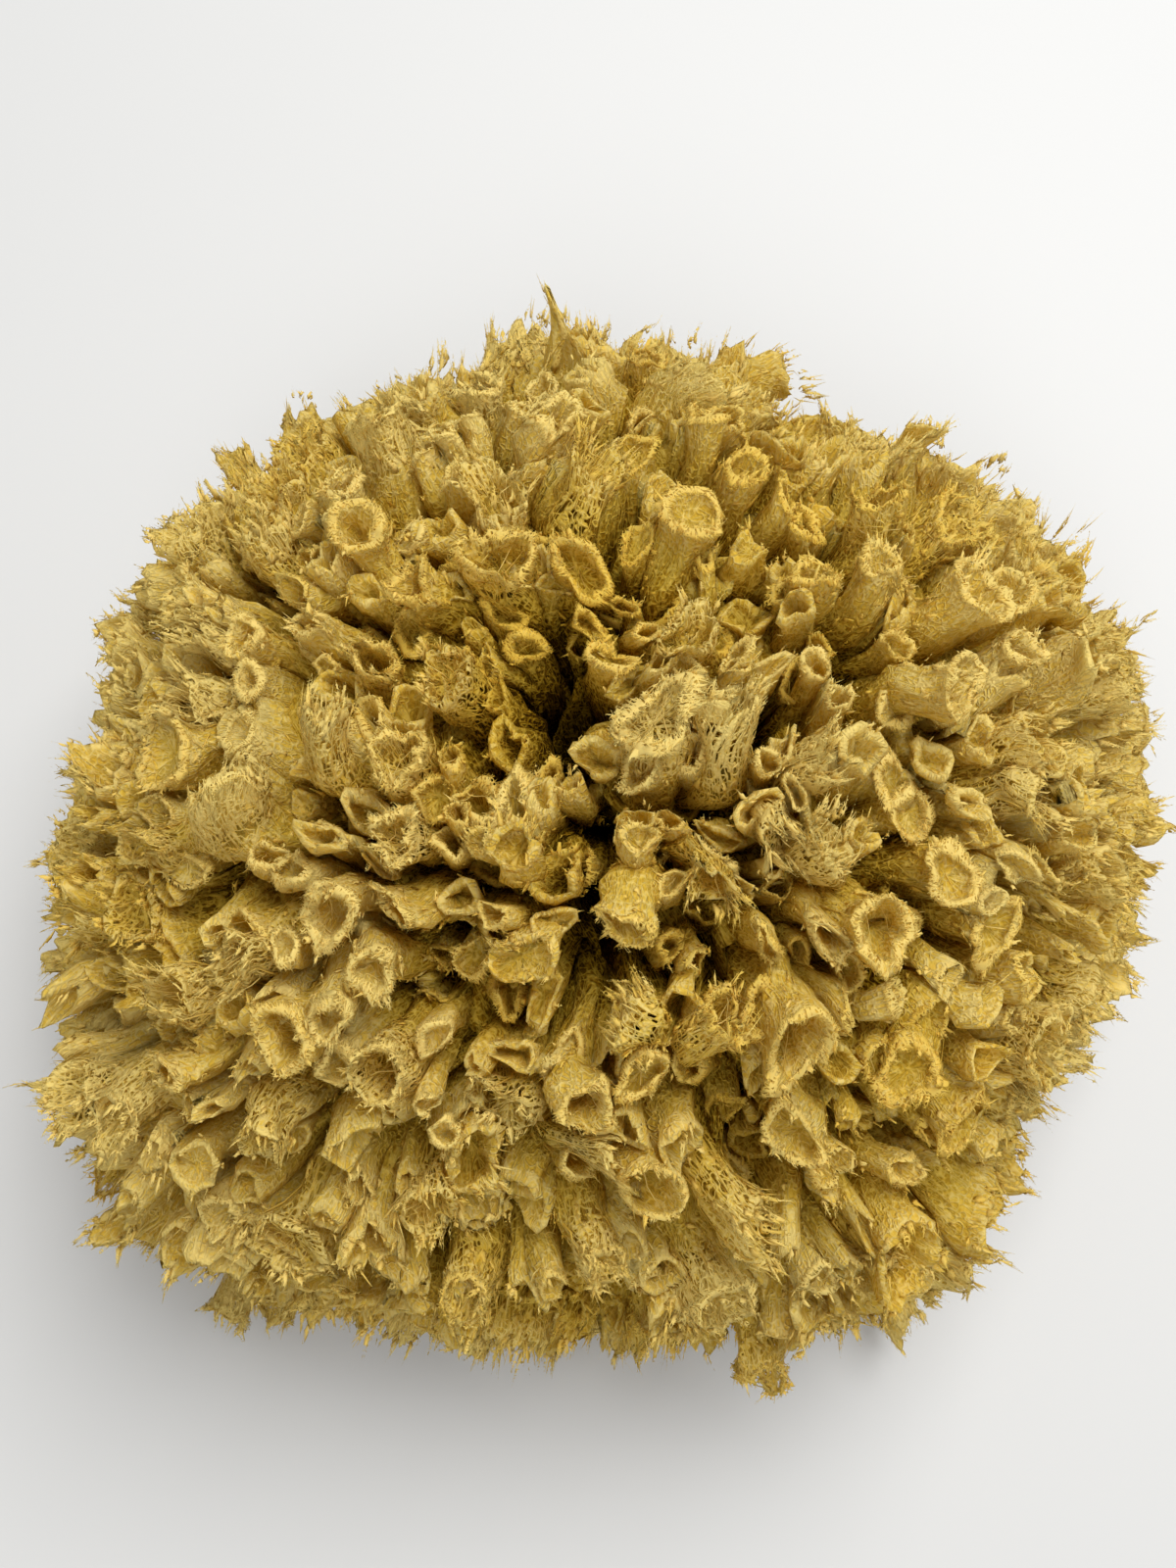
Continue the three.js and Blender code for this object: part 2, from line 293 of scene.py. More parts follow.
# What sets the kinds of tube apart. As shares of the radius: flare, flatness and strength of the lobes.
# In millimetres: wall, ragged rim, tongue on one side, and fringe. Then openness of the net, and how many
# strands on the wall, strands in a core, hoops around and chords across there are.
Kind = namedtuple("Kind", "flare wall flat lobes rag tongue net fringe strands core hoops chords")
KINDS = {
    "ring": Kind(1.04, 1.15, 0.12, 1.0, 0.40, 0.0, 0.05, 0.8, 5, 0, 0, 2),
    "plain": Kind(0.98, 1.15, 0.16, 1.2, 0.60, 0.6, 0.20, 0.9, 7, 0, 0, 1),
    "brush": Kind(1.04, 0.85, 0.28, 1.2, 1.10, 1.4, 0.35, 1.9, 16, 14, 0, 0),
    "tongue": Kind(0.88, 0.80, 0.36, 1.2, 1.30, 3.4, 0.25, 1.7, 10, 4, 0, 0),
    "stub": Kind(1.00, 1.10, 0.34, 1.3, 1.20, 1.2, 0.20, 1.3, 4, 0, 0, 0),
    "nest": Kind(1.10, 1.30, 0.08, 1.0, 0.60, 0.0, 0.55, 2.2, 40, 10, 6, 14),
    "lace": Kind(1.00, 0.70, 0.18, 1.1, 0.80, 1.4, 1.00, 1.2, 12, 0, 5, 3),
}
# Kinds with felt on their rims, and kinds whose tufts are combed along the tube
RIMMED_KINDS = ("ring", "plain", "lace", "nest")
COMBED_KINDS = ("brush", "tongue")
# Kinds that grow on top and on the flanks, some more often than others
TOP_KINDS = ("ring", "stub", "lace", "plain", "brush", "lace", "stub")
FLANK_KINDS = ("stub", "brush", "tongue", "brush", "lace", "lace", "stub", "tongue")

Tube = namedtuple("Tube", "number kind mouth axis radius small")


# Layout of the tubes

def uneven(tube, quality):
    """The same uneven number from 0 to 1 each time for a tube and a quality of it."""
    wave = math.sin(tube * 12.9898 + quality * 78.233) * 43758.5453
    return wave - math.floor(wave)


def unit(vectors):
    """One or more vectors at length one."""
    return vectors / np.linalg.norm(vectors, axis=-1, keepdims=True)


def girth(bearing):
    """Reach of the mouths in plan at bearings in radians, eased between the listed ones."""
    place = (bearing / (2 * math.pi) + 1) % 1 * len(GIRTH)
    before = np.floor(place).astype(int)
    part = place - before
    eased = part * part * (3 - 2 * part)
    reach = np.array(GIRTH)
    return reach[before % len(GIRTH)] * (1 - eased) + reach[(before + 1) % len(GIRTH)] * eased


def dome_reach(direction):
    """Reach of the dome from its middle in one or more directions."""
    x, y, z = np.moveaxis(np.asarray(direction, float), -1, 0)
    across = np.hypot(x, y) / girth(np.arctan2(y, x))
    upward = np.abs(z) / (HEIGHT - BELLY_Z)
    return (across ** ROUNDNESS + upward ** ROUNDNESS) ** (-1 / ROUNDNESS)


def on_dome(direction):
    """Where a direction from the middle meets the dome, counted from the middle."""
    direction = unit(direction)
    return direction * dome_reach(direction)


def dome_normal(direction):
    """The way the dome faces in a direction from its middle."""
    step = 0.05
    side = unit(np.cross(direction, (0.12, 0.07, 0.99)))
    other = np.cross(direction, side)
    first = on_dome(direction + side * step) - on_dome(direction - side * step)
    second = on_dome(direction + other * step) - on_dome(direction - other * step)
    normal = unit(np.cross(first, second))
    return normal if normal @ direction > 0 else -normal


def gap_depth(x, y):
    """How far the gaps lower the dome at places in plan."""
    depths = [
        depth * np.exp(-((x - gap_x) ** 2 + (y - gap_y) ** 2) / radius ** 2)
        for gap_x, gap_y, radius, depth in GAPS
    ]
    return np.max(depths, axis=0)


def waves(places, count, wavelength, spread, rng):
    """The sum of so many smooth waves in uneven directions, at one or more places."""
    total = 0.0
    for _ in range(count):
        way = unit(rng.normal(0, 1, 3)) * 2 * math.pi / (wavelength * rng.uniform(*spread))
        total = total + np.sin(places @ way + rng.uniform(0, 2 * math.pi))
    return total


def fold_depth(places):
    """How far places lie in one of the folds that part the tubes into clumps: 1 in the middle of a fold."""
    height = waves(places, 4, FOLD_SIZE, (0.8, 1.3), np.random.default_rng(31)) / 2
    return np.exp(-(height / FOLD_WIDTH) ** 2)


def tint(tube):
    """Tone of a tube's fibre from 0 to 1: large pale and brown patches, and a little of its own."""
    patch = waves(tube.mouth, 4, PATCH_SIZE, (0.7, 1.3), np.random.default_rng(47)) / 2
    return min(1.0, max(0.0, 0.5 + 0.32 * patch + 0.5 * (uneven(tube.number, 9) - 0.5)))


def growth_drift(places):
    """How far the sponge's uneven growth has moved places, in millimetres: slow bends and small kinks."""
    rng = np.random.default_rng(77)
    drift = np.zeros(places.shape)
    for wavelength, size in DRIFTS:
        for axis in range(3):
            drift[..., axis] += size / 1.5 * waves(places, 3, wavelength, (0.7, 1.4), rng)
    drift[..., 2] *= np.clip(places[..., 2] / FIRM_HEIGHT, 0, 1)
    return drift


def grown(places):
    """Places after the sponge's uneven growth, none below the flat cut."""
    moved = places + growth_drift(places)
    moved[..., 2] = np.maximum(moved[..., 2], 0)
    return moved


def prominent_tubes():
    """The tubes that stand out in the sponge, each in its own place after the uneven growth."""
    tubes = []
    for number, (kind, x, y, z, bearing, rise, radius) in enumerate(PROMINENT):
        bearing = math.radians(bearing)
        rise = math.radians(rise)
        level = math.cos(rise)
        axis = np.array((math.cos(bearing) * level, math.sin(bearing) * level, math.sin(rise)))
        mouth = np.array((x, y, z), float)
        mouth = mouth - growth_drift(mouth)
        tubes.append(Tube(PLACES + number, kind, mouth, axis, radius, False))
    return tubes


def even_tubes(taken, small):
    """The tubes between the prominent ones, spread over the dome by the golden angle: full-sized or small."""
    tubes = []
    places = SMALL_PLACES if small else PLACES
    for i in range(0, places, 1 if small else 2):
        spacing = (i + 0.5) / places * (1 - LOWEST_RISE)
        rise = min(1.0, 1 - spacing + (uneven(i, 1) - 0.5) * 0.03)
        bearing = i * GOLDEN_ANGLE + (uneven(i, 2) - 0.5) * 0.1
        level = math.sqrt(1 - rise * rise)
        direction = np.array((level * math.cos(bearing), level * math.sin(bearing), rise))
        top = direction * dome_reach(direction)
        lowered = gap_depth(top[0], top[1]) if rise > STEEPEST_GAP else 0
        short = uneven(i, 3) * SHORTFALL
        radius = TUBE_RADIUS + TUBE_RADIUS_SPREAD * uneven(i, 7)
        room = ELBOW_ROOM
        if small:
            short += SMALL_SHORTFALL + FOLD_DROP * fold_depth(top)
            radius = SMALL_RADIUS + SMALL_RADIUS_SPREAD * uneven(i, 7)
            room = SMALL_ELBOW_ROOM
        mouth = direction * (dome_reach(direction) - short - lowered) + MIDDLE
        lean = LEAN * (2 if small else 1)
        tilt = np.array([uneven(i, quality) - 0.5 for quality in (4, 5, 6)]) * lean
        axis = unit(dome_normal(direction) + tilt)
        crowded = any(np.linalg.norm(tube.mouth - mouth) < room * (tube.radius + radius) for tube in taken)
        if not crowded and lowered < GAP_LIMIT and mouth[2] > LOWEST_MOUTH:
            kinds = TOP_KINDS if rise > TOP_RISE else FLANK_KINDS
            kind = kinds[int(uneven(i, 8) * len(kinds))]
            number = PLACES + len(PROMINENT) + i if small else i
            tubes.append(Tube(number, kind, mouth, axis, radius, small))
    return tubes


def full_sized_tubes():
    """Prominent tubes, and the full-sized ones between them."""
    prominent = prominent_tubes()
    return prominent + even_tubes(prominent, small=False)


def small_tubes():
    """Small tubes in the spaces that the full-sized ones leave."""
    return even_tubes(full_sized_tubes(), small=True)


# Meshes joined from many bent copies of one blank

class Blank:
    """A closed shape whose copies are bent to their places and joined: its corners and faces."""

    def __init__(self, bm):
        bm.verts.index_update()
        self.corners = np.array([vert.co for vert in bm.verts])
        self.loops = np.array([vert.index for face in bm.faces for vert in face.verts])
        self.sizes = np.array([len(face.verts) for face in bm.faces])
        self.turn = np.arctan2(self.corners[:, 1], self.corners[:, 0])
        self.outward = np.hypot(self.corners[:, 0], self.corners[:, 1])
        self.level = self.corners[:, 2].copy()
        turns = []
        for face in bm.faces:
            angles = np.array([self.turn[vert.index] for vert in face.verts])
            rolled = np.where(angles < angles.max() - math.pi, angles + 2 * math.pi, angles)
            on_axis = np.array([self.outward[vert.index] < 1e-6 for vert in face.verts])
            if on_axis.any() and not on_axis.all():
                rolled[on_axis] = rolled[~on_axis].mean()
            turns.extend(rolled)
        self.loop_turn = np.array(turns)
        bm.free()


def turned_blank(profile, sides, closed=False):
    """A blank turned from (outward, level) places from axis to axis, or from a closed loop clear of it."""
    bm = bmesh.new()
    verts = [bm.verts.new((outward, 0, level)) for outward, level in profile]
    following = verts[1:] + verts[:1] if closed else verts[1:]
    edges = [bm.edges.new(pair) for pair in zip(verts, following)]
    bmesh.ops.spin(bm, geom=verts + edges, cent=(0, 0, 0), axis=(0, 0, 1), steps=sides,
                   angle=2 * math.pi, use_merge=True)
    bmesh.ops.remove_doubles(bm, verts=bm.verts, dist=1e-5)
    bmesh.ops.recalc_face_normals(bm, faces=bm.faces)
    return Blank(bm)


def slab_blank(across, upward):
    """A thin closed sheet, from 0 to 1 across and upward and from -1 to 1 through its thickness."""
    bm = bmesh.new()
    bmesh.ops.create_grid(bm, x_segments=across, y_segments=upward, size=0.5,
                          matrix=Matrix.Translation((0.5, 0.5, -1)))
    bmesh.ops.solidify(bm, geom=bm.faces[:], thickness=-2)
    bmesh.ops.recalc_face_normals(bm, faces=bm.faces)
    return Blank(bm)


def empty_rows(count, blank):
    """Empty places, uvs and marks for so many copies of a blank."""
    corners = len(blank.corners)
    loops = len(blank.loops)
    return np.empty((count, corners, 3)), np.empty((count, loops, 2)), np.empty((count, corners, 4))


def marked(below, inside, tone, openness):
    """Marks for the painted shade and the fibre: millimetres below the rim, inside a bore or at a loose edge,
    tone, and openness.
    """
    return np.stack(np.broadcast_arrays(below, inside, tone, openness), axis=-1)


def add_layers(mesh, uvs, marks):
    """Gives a mesh its UV map along the fibres and its marks for the painted shade and the fibre."""
    layer = mesh.uv_layers.new(name="along")
    layer.uv.foreach_set("vector", uvs.astype(np.float32).ravel())
    colour = mesh.color_attributes.new(name="shade_and_fibre_marks", type="FLOAT_COLOR", domain="POINT")
    colour.data.foreach_set("color", marks.astype(np.float32).ravel())
    mesh.shade_smooth()


def joined_mesh(name, blank, places, uvs, marks):
    """One mesh of all copies of a blank: places, uvs and marks are arrays with one row a copy."""
    count = len(places)
    corners = len(blank.corners)
    mesh = bpy.data.meshes.new(name)
    mesh.vertices.add(count * corners)
    mesh.vertices.foreach_set("co", (grown(places) * MM).astype(np.float32).ravel())
    loops = (blank.loops[None, :] + np.arange(count)[:, None] * corners).ravel()
    mesh.loops.add(len(loops))
    mesh.loops.foreach_set("vertex_index", loops.astype(np.int32))
    sizes = np.tile(blank.sizes, count)
    starts = np.concatenate(([0], np.cumsum(sizes)[:-1]))
    mesh.polygons.add(len(sizes))
    mesh.polygons.foreach_set("loop_start", starts.astype(np.int32))
    mesh.update(calc_edges=True)
    add_layers(mesh, uvs, marks)
    return mesh


def place_piece(name, mesh, material):
    """Links a finished mesh as a piece of the sponge, with its finish and its body."""
    piece = bpy.data.objects.new(name, mesh)
    bpy.context.scene.collection.objects.link(piece)
    mesh.materials.append(material)
    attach(piece, BODY)
    return piece


# Shape of one tube

class Path:
    """The bent middle line of a tube, from its foot in the body to its mouth and a little beyond."""

    def __init__(self, tube):
        self.foot = MIDDLE + (tube.mouth - MIDDLE) * FOOT_SHARE
        self.mouth = tube.mouth
        self.axis = tube.axis
        self.length = np.linalg.norm(self.mouth - self.foot)
        self.knee = self.mouth - self.axis * self.length * 0.5
        start = unit(self.knee - self.foot)
        bend = np.cross(start, self.axis)
        if np.linalg.norm(bend) < 1e-3:
            bend = np.cross(start, (0.31, 0.17, 0.94))
        self.side = unit(bend)

    def at(self, level):
        """Middle, and two directions square to the line, at levels from 0 at the foot to 1 at the mouth."""
        t = np.minimum(level, 1.0)[..., None]
        beyond = np.maximum(level - 1.0, 0.0)[..., None] * self.length
        middle = (1 - t) ** 2 * self.foot + 2 * t * (1 - t) * self.knee + t ** 2 * self.mouth
        ahead = unit((1 - t) * (self.knee - self.foot) + t * (self.mouth - self.knee))
        side = np.broadcast_to(self.side, middle.shape)
        other = np.cross(ahead, side)
        return middle + beyond * self.axis, side, other


class Wall:
    """The uneven wall of one tube: its radius, rim and thickness at any turn and level."""

    def __init__(self, tube):
        self.tube = tube
        self.kind = KINDS[tube.kind]
        self.scale = min(1.0, tube.radius / TUBE_RADIUS)
        self.path = Path(tube)
        rng = np.random.default_rng(1000 + tube.number)
        self.waves = rng.uniform(0, 2 * math.pi, (len(LOBES), 2))
        self.sizes = rng.uniform(0.4, 1.0, len(LOBES))
        self.tongue_turn = rng.uniform(0, 2 * math.pi)
        self.wander = rng.uniform(-0.5, 0.5, 2)

    def rag(self, turn):
        """How far the rim stands up or hangs back at a turn, in millimetres."""
        first, second = self.waves[:, 0], self.waves[:, 1]
        teeth = 0.5 * np.sin(2 * turn + second[0]) + 0.4 * np.sin(3 * turn + first[0])
        teeth = teeth + 0.35 * np.sin(6 * turn + first[1]) + 0.35 * np.sin(9 * turn + second[2])
        tongue = np.maximum(0, np.cos((turn - self.tongue_turn) * 0.5)) ** 6
        return (self.kind.rag * teeth + self.kind.tongue * tongue) * self.scale

    def radius(self, turn, level):
        """Outer radius at a turn and level, in millimetres."""
        t = np.clip(level, 0, 1.1)
        along = level * self.path.length
        neck = np.clip(t / NECK_LEVEL, 0, 1) ** 1.5
        lip = np.clip((t - NECK_LEVEL) / (1 - NECK_LEVEL), 0, 1.3) ** 1.5
        spread = FOOT_SPREAD + (NECK_SPREAD - FOOT_SPREAD) * neck + (self.kind.flare - NECK_SPREAD) * lip
        shape = 1 + 0 * turn
        shares = (0.03, self.kind.flat, 0.09, 0.05, 0.045, 0.03)
        for count, share, (first, second), size in zip(LOBES, shares, self.waves, self.sizes):
            lean = 0.6 * np.sin(0.25 * along + second)
            swell = 0.75 + 0.5 * np.sin(0.45 * along + 2 * first)
            shape = shape + self.kind.lobes * share * size * swell * np.cos(count * (turn + lean) + first)
        return self.tube.radius * spread * shape

    def thick(self, level):
        """Thickness of the wall at a level, in millimetres."""
        return self.kind.wall * self.scale * (1.9 - 0.9 * np.clip(level, 0, 1))

    def place(self, turn, level, inset):
        """Places at a turn and level, inset by so many millimetres from the outside of the wall."""
        lift = self.rag(turn) * np.clip((level - 0.6) / 0.4, 0, 1) / self.path.length
        middle, side, other = self.path.at(level + lift)
        out = np.maximum(self.radius(turn, level) - inset, THINNEST)[..., None]
        drift = (np.sin(level * 3.1 + self.wander[0] * 6) * self.wander[1] * 1.6)[..., None]
        return middle + side * (np.cos(turn)[..., None] * out + drift) + other * np.sin(turn)[..., None] * out


def tube_blank(sides, outer, inner, floor):
    """A hollow tube: outward 1 is its outside, 0.5 its inside, 0.75 the crest of its rim."""
    profile = [(0, 0)] + [(1, level) for level in outer]
    profile += [(0.75, 1.02)] + [(0.5, level) for level in inner] + [(0, floor)]
    return turned_blank(profile, sides)


def bend_tubes(name, tubes, blank, material):
    """All given tubes as one piece, each bent from the blank along its own path."""
    places, uvs, marks = empty_rows(len(tubes), blank)
    outside = blank.outward > 0.6
    on_axis = blank.outward < 1e-6
    inset = np.clip((1 - blank.outward) * 2, 0, 1)
    for row, tube in enumerate(tubes):
        wall = Wall(tube)
        bore = SHALLOW_BORE + BORE_SPREAD * uneven(tube.number, 12) ** 2
        level = np.where(outside, blank.level, 1 - (1 - blank.level) * bore)
        level[0] = blank.level[0]
        shaped = wall.place(blank.turn, level, inset * wall.thick(level))
        places[row] = np.where(on_axis[:, None], wall.path.at(level)[0], shaped)
        uvs[row, :, 0] = blank.loop_turn * tube.radius + tube.number * 7.3
        uvs[row, :, 1] = level[blank.loops] * wall.path.length
        # Painted shade from the depth below the rim, darker inside the bore; the tint is the tube's own tone
        marks[row] = marked((1 - level) * wall.path.length, ~outside, tint(tube), wall.kind.net)
    return place_piece(name, joined_mesh(name, blank, places, uvs, marks), material)


def rim_blank(sides):
    """A closed ring that caps a rim: outward 1 to 2 is across it from the bore, and level 1 its top."""
    top = [(1 + across, 1) for across in RIM_ACROSS]
    return turned_blank(top + [(1.5, 0)], sides, closed=True)


def bend_rims(name, tubes, blank, material):
    """The loose felt on the rims as one piece: it covers the crest and frays past both edges."""
    places, uvs, marks = empty_rows(len(tubes), blank)
    across = blank.outward - 1
    top = blank.level > 0.5
    rise = np.interp(across, RIM_ACROSS, RIM_RISE) - np.where(top, 0, RIM_FELT)
    for row, tube in enumerate(tubes):
        wall = Wall(tube)
        thick = wall.thick(1.0)
        wave = 0.7 + 0.3 * np.sin(3 * blank.turn + wall.waves[0, 0])
        wave += 0.2 * np.sin(7 * blank.turn + wall.waves[1, 0])
        fray = wall.kind.fringe * wave * wall.scale
        inset = np.interp(across, RIM_ACROSS, RIM_INSET) * thick
        inset += np.where(across < 0.1, 0.5, 0) * fray - np.where(across > 0.9, 0.75, 0) * fray
        places[row] = wall.place(blank.turn, 1 + rise / wall.path.length, inset)
        uvs[row, :, 0] = blank.loop_turn * tube.radius + tube.number * 3.7
        uvs[row, :, 1] = across[blank.loops] * (thick + 1.5)
        # The felt counts 0.3 mm below the rim for the painted shade, and the bore's painted shade darkens it
        # towards both edges, where it also frays thin
        marks[row] = marked(0.3, np.where(top, np.abs(across - 0.5) * 2, 0), tint(tube), 0)
    return place_piece(name, joined_mesh(name, blank, places, uvs, marks), material)


def neighbours(tubes):
    """Pairs of tubes that stand close enough to be webbed together."""
    mouths = np.array([tube.mouth for tube in tubes])
    pairs = []
    for first, tube in enumerate(tubes):
        gaps = np.linalg.norm(mouths[first + 1:] - tube.mouth, axis=1)
        for offset in np.argsort(gaps)[:2]:
            other = tubes[first + 1 + offset]
            joined = tube.radius + other.radius
            if WEB_LEAST * joined < gaps[offset] < WEB_REACH * joined:
                pairs.append((tube, other))
    return pairs


def bend_webs(name, pairs, blank, material):
    """Thin fibrous webs between neighbouring tubes as one piece."""
    places, uvs, marks = empty_rows(len(pairs), blank)
    across, upward, through = blank.corners.T
    for row, (first, second) in enumerate(pairs):
        rng = np.random.default_rng(5000 + row)
        start, end = Path(first), Path(second)
        crest = rng.uniform(WEB_CREST_LOW, WEB_CREST_HIGH)
        crest -= WEB_DROP * fold_depth((first.mouth + second.mouth) / 2 - MIDDLE)
        sag = rng.uniform(0.02, 0.10) * np.sin(across * math.pi)
        ragged = 0.02 * np.sin(across * 19 + rng.uniform(0, 6))
        ragged += 0.015 * np.sin(across * 37 + rng.uniform(0, 6))
        level = WEB_FOOT + upward * (crest - sag + ragged - WEB_FOOT)
        towards = unit(second.mouth - first.mouth)
        begin = start.at(level)[0] + towards * first.radius * WEB_HOLD
        finish = end.at(level)[0] - towards * second.radius * WEB_HOLD
        middle = begin + (finish - begin) * across[:, None]
        facing = unit(np.cross(towards, unit(start.axis + end.axis)))
        first_wave, second_wave = rng.uniform(0, 2 * math.pi, 2)
        sway = 0.9 * np.sin(across * 5.5 + first_wave + upward * 3) + 0.5 * np.sin(across * 11 + second_wave)
        half = 0.8 + 0.5 * (1 - upward)
        places[row] = middle + facing * (sway * np.sin(across * math.pi) + through * half)[:, None]
        height = (crest - WEB_FOOT) * start.length
        uvs[row, :, 0] = across[blank.loops] * np.linalg.norm(second.mouth - first.mouth) + row * 5.1
        uvs[row, :, 1] = upward[blank.loops] * height
        # Painted shade from the depth below the web's crest, darker towards its foot
        marks[row] = marked((1 - upward) * height, 0, (tint(first) + tint(second)) / 2, 0)
    return place_piece(name, joined_mesh(name, blank, places, uvs, marks), material)


# Fibres on the tubes

def strand_blank():
    """A thin three-sided strand that ends in points."""
    profile = [(0, 0)] + [(1, step) for step in range(1, STRAND_STEPS - 1)] + [(0, STRAND_STEPS - 1)]
    return turned_blank(profile, 3)


class Fibres:
    """Thin fibres gathered before they are joined: lines, radii, depths below the rim and tones."""

    def __init__(self):
        self.groups = []

    def add(self, lines, radii, depths, tones):
        """Takes in fibres with one row each."""
        self.groups.append((lines, radii, depths, tones))

    def piece(self, name, blank, material):
        """Joins the fibres as one piece of copies of the blank."""
        lines, radii, depths, tones = (np.concatenate(values) for values in zip(*self.groups))
        ahead = unit(np.gradient(lines, axis=1))
        side = unit(np.cross(ahead, (0.37, -0.61, 0.70)))
        other = np.cross(ahead, side)
        step = np.clip(np.round(blank.level).astype(int), 0, STRAND_STEPS - 1)
        across = (blank.outward * np.cos(blank.turn))[None, :, None] * radii[:, step, None]
        beside = (blank.outward * np.sin(blank.turn))[None, :, None] * radii[:, step, None]
        places = lines[:, step] + side[:, step] * across + other[:, step] * beside
        uvs = np.zeros((len(lines), len(blank.loops), 2))
        uvs[:, :, 0] = blank.loop_turn[None, :] * 0.2
        uvs[:, :, 1] = blank.level[blank.loops][None, :]
        # Painted shade from each strand's depth below the rim
        marks = marked(depths[:, step], 0, tones[:, None], 0)
        return place_piece(name, joined_mesh(name, blank, places, uvs, marks), material)


def add_strands(fibres, tube, radius, rng):
    """Strands that run up a tube's wall and past its rim, and in the core of a brush."""
    wall = Wall(tube)
    outer = wall.kind.strands
    count = outer + wall.kind.core
    core = np.arange(count) >= outer
    start = np.where(core, rng.uniform(0.75, 0.9, count), rng.uniform(0.45, 0.9, count))
    past = 1 + rng.uniform(-0.5, 1.0, count) * wall.kind.fringe / wall.path.length
    level = start[:, None] + (past - start)[:, None] * np.linspace(0, 1, STRAND_STEPS)[None, :]
    drift = rng.normal(0, 0.16, level.shape).cumsum(axis=1)
    turn = rng.uniform(0, 2 * math.pi, count)[:, None] + drift
    inset = np.where(core, rng.uniform(0.2, 0.9, count) * tube.radius, rng.uniform(-0.15, 0.1, count))
    lines = wall.place(turn, level, inset[:, None] + rng.normal(0, 0.10, level.shape))
    taper = np.sin(np.linspace(0.2, 0.9, STRAND_STEPS) * math.pi)
    radii = radius * rng.uniform(0.6, 1.3, count)[:, None] * taper[None, :]
    tones = np.clip(tint(tube) + rng.uniform(-0.25, 0.25, count), 0, 1)
    fibres.add(lines, radii, (1 - level) * wall.path.length, tones)


def add_hoops(fibres, tube, radius, rng):
    """Fibres that cross a net-like wall from strand to strand."""
    wall = Wall(tube)
    count = wall.kind.hoops
    level = 1 - rng.uniform(0.5, 9.0, count) / wall.path.length
    level = level[:, None] + rng.normal(0, 0.010, (count, STRAND_STEPS)).cumsum(axis=1)
    arc = rng.uniform(0.8, 3.0, count)
    turn = rng.uniform(0, 2 * math.pi, count)[:, None] + arc[:, None] * np.linspace(0, 1, STRAND_STEPS)
    lines = wall.place(turn, level, 0.1 + rng.normal(0, 0.08, level.shape))
    radii = radius * rng.uniform(0.6, 1.0, count)[:, None] * np.ones(STRAND_STEPS)
    tones = rng.uniform(0.3, 1, count)
    fibres.add(lines, radii, (1 - level) * wall.path.length, tones)


def add_chords(fibres, tube, radius, rng):
    """Fibres that sag across a tube's mouth from wall to wall."""
    wall = Wall(tube)
    count = wall.kind.chords
    inset = wall.kind.wall * 0.6
    level = 1 - rng.uniform(0.3, 3.0, count) / wall.path.length
    start = rng.uniform(0, 2 * math.pi, count)
    first = wall.place(start, level, inset)
    second = wall.place(start + rng.uniform(1.6, 3.6, count), level, inset)
    part = np.linspace(0, 1, STRAND_STEPS)[None, :, None]
    sag = np.sin(part * math.pi) * rng.uniform(0, 1.5, count)[:, None, None]
    lines = first[:, None] + (second - first)[:, None] * part - tube.axis * sag
    lines = lines + rng.normal(0, 0.12, lines.shape)
    radii = radius * rng.uniform(0.6, 1.0, count)[:, None] * np.ones(STRAND_STEPS)
    depths = (1 - level)[:, None] * wall.path.length * np.ones(STRAND_STEPS)
    fibres.add(lines, radii, depths, rng.uniform(0.3, 1, count))


def tuft_blank():
    """A flat closed tuft: level 0 is its root, 1 its widest place and 2 its tip."""
    return turned_blank([(0, 0), (1, 1), (0, 2)], 4)


